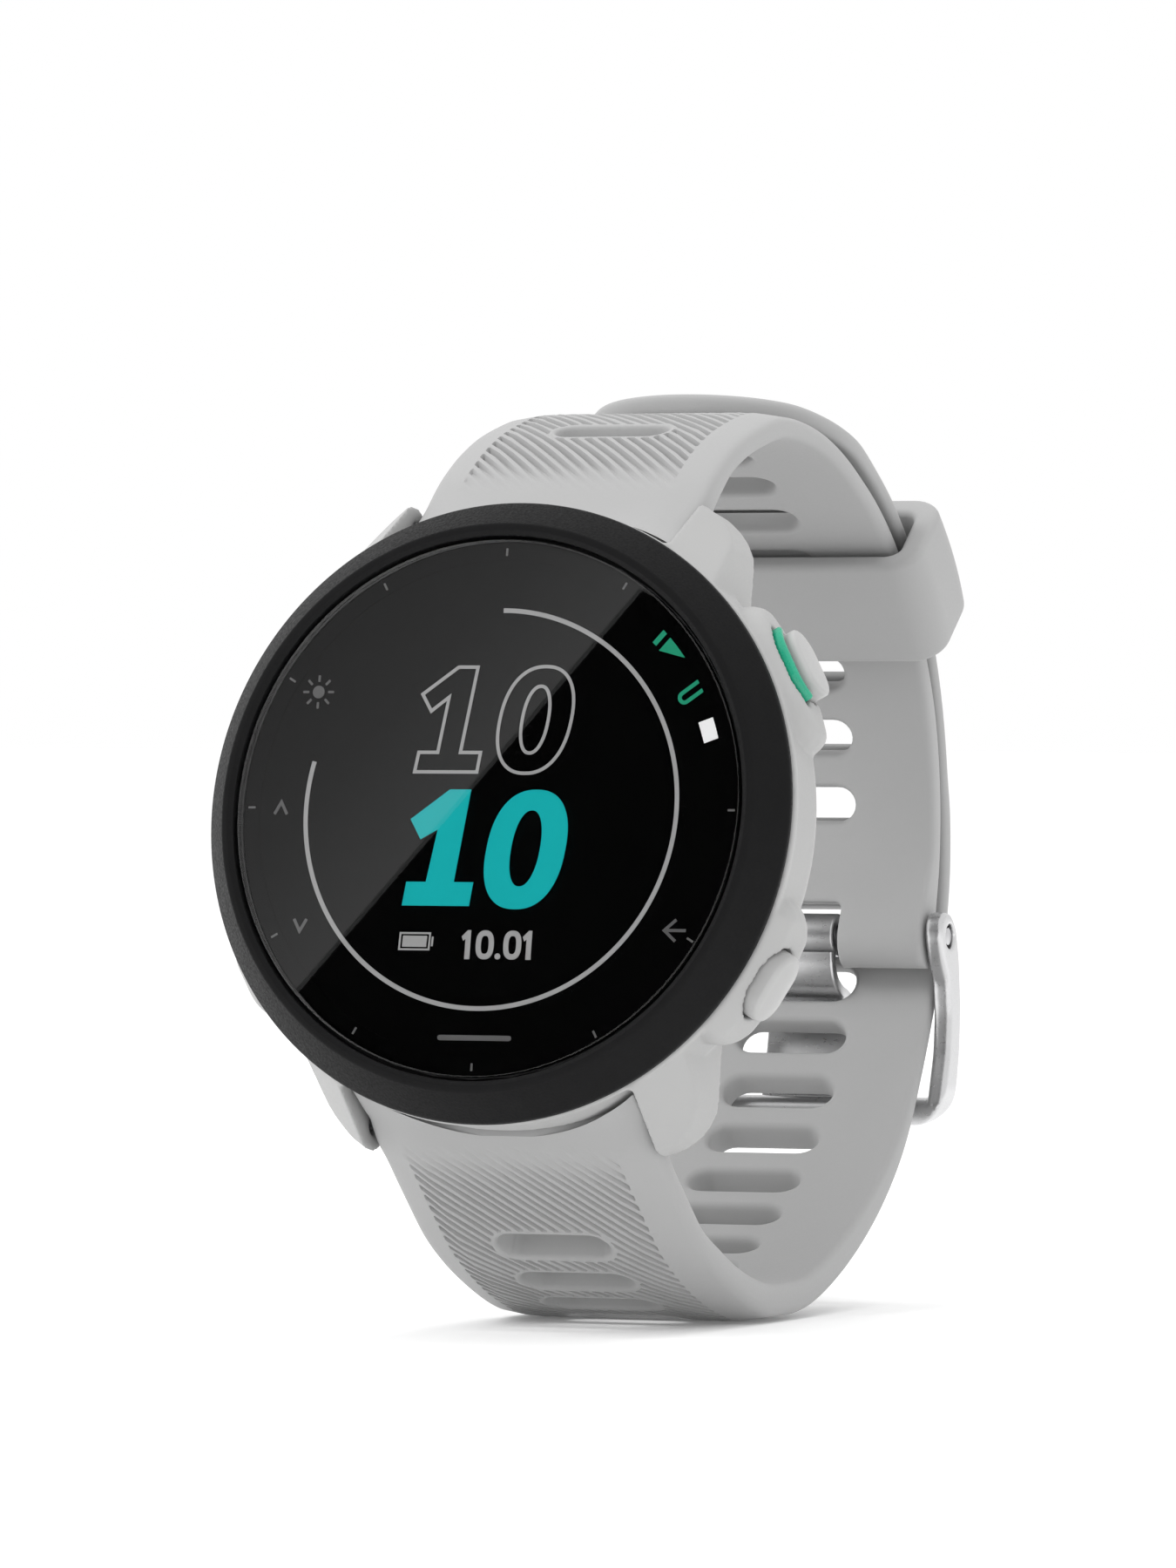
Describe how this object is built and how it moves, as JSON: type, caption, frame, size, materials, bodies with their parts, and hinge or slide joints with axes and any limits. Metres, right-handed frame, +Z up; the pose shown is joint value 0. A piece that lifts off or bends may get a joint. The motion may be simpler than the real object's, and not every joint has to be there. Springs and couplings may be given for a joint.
{
  "type": "gps running watch",
  "caption": "Round running watch with a glass dial, side push buttons and a perforated strap closed by a pin buckle and keeper.",
  "frame": {"origin": "on the flat resting face under the closed strap, on the watch's middle plane, 26.0 mm behind the centre of the dial", "axes": "+Z up, -Y towards the reader of the dial, +X towards three o'clock; the dial leans back 10 degrees"},
  "size_m": [0.0425, 0.0628, 0.0624],
  "materials": {
    "case_shell": "fine matte grain",
    "bezel": "satin black, fine grain",
    "glass": "clear polished",
    "seal_rubber": "moulded",
    "display": "black dial with printed marks and digits",
    "inner_plastic": "moulded",
    "circuit_board": "solder mask",
    "battery_foil": "satin foil",
    "gold_plate": "gold plated",
    "small_steel": "turned",
    "sensor_window": "polished black with clear windows",
    "back_cover": "fine matte grain",
    "green_accent": "translucent",
    "button_plastic": "satin",
    "silicone": "soft matte silicone",
    "buckle_steel": "satin with polished edges"
  },
  "bodies": {
    "case": {"case_body": "case_shell", "bezel": "bezel", "lens": "glass", "lens_gasket": "seal_rubber", "display_panel": "display", "chassis": "inner_plastic", "main_board": "circuit_board", "battery": "battery_foil", "vibration_motor": "small_steel", "buzzer": "inner_plastic", "gps_antenna": "gold_plate", "sensor_board": "circuit_board", "sensor_window": "sensor_window", "back_cover": "back_cover", "back_seal": "seal_rubber", "start_accent": "green_accent", "back_screw_1": "small_steel", "back_screw_2": "small_steel", "back_screw_3": "small_steel", "back_screw_4": "small_steel", "charge_contact_1": "gold_plate", "charge_contact_2": "gold_plate", "charge_contact_3": "gold_plate", "charge_contact_4": "gold_plate", "button_seal_start": "seal_rubber", "button_seal_back": "seal_rubber", "button_seal_light": "seal_rubber", "button_seal_up": "seal_rubber", "button_seal_down": "seal_rubber", "switch_start": "inner_plastic", "switch_back": "inner_plastic", "switch_light": "inner_plastic", "switch_up": "inner_plastic", "switch_down": "inner_plastic", "upper_bar_tube": "small_steel", "lower_bar_tube": "small_steel", "upper_bar_spring": "small_steel", "lower_bar_spring": "small_steel"},
    "button_start": {"button_start": "button_plastic", "button_clip_start": "small_steel"},
    "button_back": {"button_back": "button_plastic", "button_clip_back": "small_steel"},
    "button_light": {"button_light": "button_plastic", "button_clip_light": "small_steel"},
    "button_up": {"button_up": "button_plastic", "button_clip_up": "small_steel"},
    "button_down": {"button_down": "button_plastic", "button_clip_down": "small_steel"},
    "upper_bar_pin": {"upper_bar_pin": "small_steel"},
    "lower_bar_pin": {"lower_bar_pin": "small_steel"},
    "short_strap": {"strap_short": "silicone"},
    "long_strap": {"strap_long": "silicone"},
    "keeper": {"keeper": "silicone"},
    "buckle": {"buckle_frame": "buckle_steel", "buckle_bar": "buckle_steel"},
    "buckle_tongue": {"buckle_tongue": "buckle_steel"}
  },
  "joints": [
    {"name": "press_start", "type": "slide", "parent": "case", "child": "button_start", "axis": [-0.8746, -0.0842, -0.4774], "range_m": [0, 0.0006], "stiffness_N_per_m": 500, "springref_m": -0.0008},
    {"name": "press_back", "type": "slide", "parent": "case", "child": "button_back", "axis": [-0.866, 0.0868, 0.4924], "range_m": [0, 0.0006], "stiffness_N_per_m": 500, "springref_m": -0.0008},
    {"name": "press_light", "type": "slide", "parent": "case", "child": "button_light", "axis": [0.866, -0.0868, -0.4924], "range_m": [0, 0.0006], "stiffness_N_per_m": 500, "springref_m": -0.0008},
    {"name": "press_up", "type": "slide", "parent": "case", "child": "button_up", "axis": [1, 0, 0], "range_m": [0, 0.0006], "stiffness_N_per_m": 500, "springref_m": -0.0008},
    {"name": "press_down", "type": "slide", "parent": "case", "child": "button_down", "axis": [0.866, 0.0868, 0.4924], "range_m": [0, 0.0006], "stiffness_N_per_m": 500, "springref_m": -0.0008},
    {"name": "upper_bar_release", "type": "slide", "parent": "case", "child": "upper_bar_pin", "axis": [-1, 0, 0], "range_m": [0, 0.0013], "stiffness_N_per_m": 600, "springref_m": -0.0008},
    {"name": "lower_bar_release", "type": "slide", "parent": "case", "child": "lower_bar_pin", "axis": [-1, 0, 0], "range_m": [0, 0.0013], "stiffness_N_per_m": 600, "springref_m": -0.0008},
    {"name": "short_strap_hinge", "type": "hinge", "parent": "case", "child": "short_strap", "pos_m": [0, -0.0144, 0.05256], "axis": [1, 0, 0], "range_deg": [-0.4, 0.4]},
    {"name": "long_strap_hinge", "type": "hinge", "parent": "case", "child": "long_strap", "pos_m": [0, -0.02125, 0.01376], "axis": [1, 0, 0], "range_deg": [-0.35, 0.35]},
    {"name": "keeper_slide", "type": "hinge", "parent": "short_strap", "child": "keeper", "pos_m": [0, 0.004, 0.0333], "axis": [1, 0, 0], "range_deg": [-14, 10]},
    {"name": "buckle_hinge", "type": "hinge", "parent": "short_strap", "child": "buckle", "pos_m": [0, 0.02796, 0.02513], "axis": [1, 0, 0], "range_deg": [0, 12]},
    {"name": "tongue_hinge", "type": "hinge", "parent": "buckle", "child": "buckle_tongue", "pos_m": [0, 0.02796, 0.02513], "axis": [1, 0, 0], "range_deg": [0, 8]}
  ],
  "couplings": [
    {"joint": "long_strap_hinge", "follows": "short_strap_hinge", "ratio": 0.87}
  ]
}
